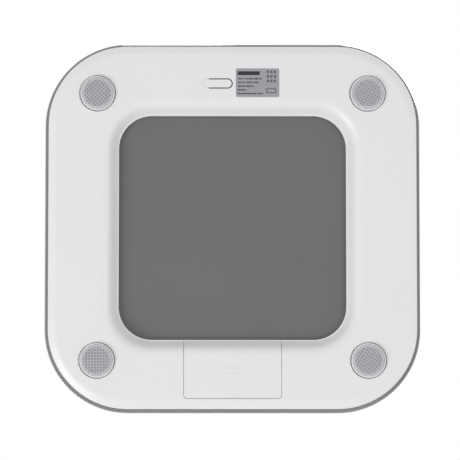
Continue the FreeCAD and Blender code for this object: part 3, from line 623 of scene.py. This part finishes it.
def display_digits(material, ghost_material):
    """A reading of nought point nought, with the unlit bars just visible."""
    bar = segment_mesh()
    middle = (lcd_low + lcd_high) / 2
    top = lcd_high.z + segment_rise
    places = [Vector((middle.x + step * digit_pitch, middle.y, top)) for step in (-1.5, -0.5, 0.5, 1.5)]
    lit, unlit = [], []
    for index, place in enumerate(places):
        on = "abcdef" if index > 1 else ""
        lit += digit(bar, place, on)
        unlit += digit(bar, place, [name for name in SEGMENTS if name not in on])
    bpy.ops.object.select_all(action="DESELECT")
    bpy.ops.mesh.primitive_cylinder_add(vertices=24, radius=point_radius, depth=segment_rise, location=(
        middle.x + digit_pitch, middle.y - segment_length * segment_spread, top))
    lit.append(settle("point"))
    bpy.data.objects.remove(bar)
    for bars, name, finish in ((lit, "display_digits", material), (unlit, "display_ghosts", ghost_material)):
        bpy.ops.object.select_all(action="DESELECT")
        for piece in bars:
            piece.select_set(True)
        bpy.context.view_layer.objects.active = bars[0]
        bpy.ops.object.join()
        finish_piece(settle(name), finish, "platform")


# ---------------------------------------------------------------- stage, camera and lamps

def stage():
    bpy.ops.object.select_all(action="DESELECT")
    bpy.ops.mesh.primitive_grid_add(x_subdivisions=4, y_subdivisions=4, size=12.0, location=(0, 0, 0))
    floor = settle("floor")
    floor.data.materials.append(stage_floor())
    floor.visible_shadow = False
    floor.visible_diffuse = False
    floor.visible_glossy = False
    floor.visible_transmission = False


def look(place, aim, up):
    """The turn that points a camera or lamp from a place to an aim, with up kept upright."""
    back = (place - aim).normalized()
    right = up.cross(back).normalized()
    return Matrix((right, back.cross(right), back)).transposed().to_4x4()


def camera():
    """Below the scale, almost square to it, a little towards the battery side."""
    tilt = math.radians(camera_tilt)
    lean = math.radians(camera_lean)
    toward = Vector((math.sin(lean), -math.sin(tilt), -math.cos(tilt))).normalized()
    aim = Vector((*camera_aim, platform_low.z))
    data = bpy.data.cameras.new("camera")
    data.sensor_width = camera_sensor
    data.lens = camera_sensor * camera_distance / camera_frame
    data.clip_end = 50.0
    eye = bpy.data.objects.new("camera", data)
    bpy.context.scene.collection.objects.link(eye)
    place = aim + toward * camera_distance
    eye.matrix_world = Matrix.Translation(place) @ look(place, aim, Vector((0, 1, 0)))
    bpy.context.scene.camera = eye


def lamp(kind, name, place, aim, size, power):
    """A soft disc lamp, or a sun whose size is its angle in degrees."""
    data = bpy.data.lights.new(name, kind)
    if kind == "SUN":
        data.angle = math.radians(size)
    else:
        data.shape = "DISK"
        data.size = size
    data.energy = power
    light = bpy.data.objects.new(name, data)
    bpy.context.scene.collection.objects.link(light)
    light.matrix_world = Matrix.Translation(place) @ look(place, aim, Vector((0, 1, 0.3)))


def lamps():
    """A key and a fill below for the underside, and a high soft sun for the platform and the floor."""
    centre = Vector((0.0, 0.0, 0.01))
    lamp("AREA", "key_below", Vector((2.1, -1.5, -2.1)), centre, 1.7, 43.0)
    lamp("AREA", "fill_below", Vector((-2.0, 0.0, -2.3)), centre, 2.0, 15.0)
    lamp("SUN", "sun_above", Vector((0.9, -0.9, 2.4)), centre, 40.0, 1.5)


def world():
    """White all round for the camera, and a softer light on the scale that is brighter at the horizon."""
    made = bpy.data.worlds.new("world")
    room = Tree(made)
    around = room.node("ShaderNodeTexCoord").outputs["Generated"]
    split = room.node("ShaderNodeSeparateXYZ", {}, {0: around})
    strength = 0.76 - abs(Level(room, split.outputs[2])) * 0.17
    seen = room.node("ShaderNodeBackground", {}, {"Color": (1.0, 1.0, 1.0, 1.0)})
    even = room.node("ShaderNodeBackground", {}, {"Color": (0.975, 0.985, 1.0, 1.0), "Strength": strength})
    ray = room.node("ShaderNodeLightPath").outputs["Is Camera Ray"]
    both = room.node("ShaderNodeMixShader", {}, {0: ray, 1: even.outputs[0], 2: seen.outputs[0]})
    room.node("ShaderNodeOutputWorld", {}, {"Surface": both.outputs[0]})
    bpy.context.scene.world = made


# ---------------------------------------------------------------- the scale

def dress_nodes():
    """Gives every carried-over node its finish."""
    white = white_plastic()
    steel = metal("steel", grey(0.42), grey(0.6), 0.28, (1.0, 12.0, 1.0))
    nickel = metal("nickel", (0.58, 0.55, 0.5, 1), (0.75, 0.72, 0.66, 1), 0.18)
    resin = plain("black_resin", grey(0.008), grey(0.02), 0.25)
    cream = plain("frame_plastic", grey(0.52, frame_tint), grey(0.6, frame_tint), 0.4)
    finishes = {
        "back_print": grey_print(),
        "foam_tape": foam(),
        "tray": white,
        "battery_cover": white,
        "unit_button": white,
        "foot_cup": white,
        "rating_label": label_foil(),
        "main_board": circuit_board(),
        "board_screws": steel,
        "load_cell": steel,
        "load_cell_bracket": cream,
        "load_cell_wires": plain("red_wire", (0.30, 0.012, 0.01, 1), (0.42, 0.02, 0.015, 1), 0.35),
        "gauge_potting": plain("potting", grey(0.66), grey(0.76), 0.3),
        "controller_blob": resin,
        "small_components": resin,
        "switch_body": plain("black_plastic", grey(0.015), grey(0.03), 0.45),
        "switch_plunger": plain("button_plastic", grey(0.5, button_tint), grey(0.58, button_tint), 0.4),
        "lcd_glass": display_glass(),
        "lcd_frame": cream,
        "contact_strips": plain("strip_rubber", grey(0.05), grey(0.3), 0.7, 3000.0),
        "battery_cell": cell_jacket(),
        "battery_springs": nickel,
        "battery_contact": nickel,
        "battery_lead_negative": plain("black_wire", grey(0.012), grey(0.03), 0.35),
        "battery_lead_positive": plain("lead_red", (0.34, 0.014, 0.01, 1), (0.45, 0.022, 0.016, 1), 0.35),
        "wire_tape": plain("tape", (0.55, 0.38, 0.12, 1), (0.62, 0.44, 0.16, 1), 0.3),
    }
    for name, node in frame["nodes"].items():
        starts = [key for key in finishes if name.startswith(key)]
        if starts:
            node.data.materials.clear()
            node.data.materials.append(finishes[max(starts, key=len)])


def main():
    camera()
    world()
    stage()
    lamps()
    dress_nodes()
    platform_glass(clear_glass())
    rubber = pad_rubber()
    for foot in FEET:
        foot_pad(foot, rubber)
    dark = plain("display_ink", grey(0.015), grey(0.025), 0.3)
    ghost = plain("display_ghost", grey(0.28, display_tint), grey(0.30, display_tint), 0.3)
    display_digits(dark, ghost)
    bpy.context.scene.view_settings.view_transform = "Standard"


main()
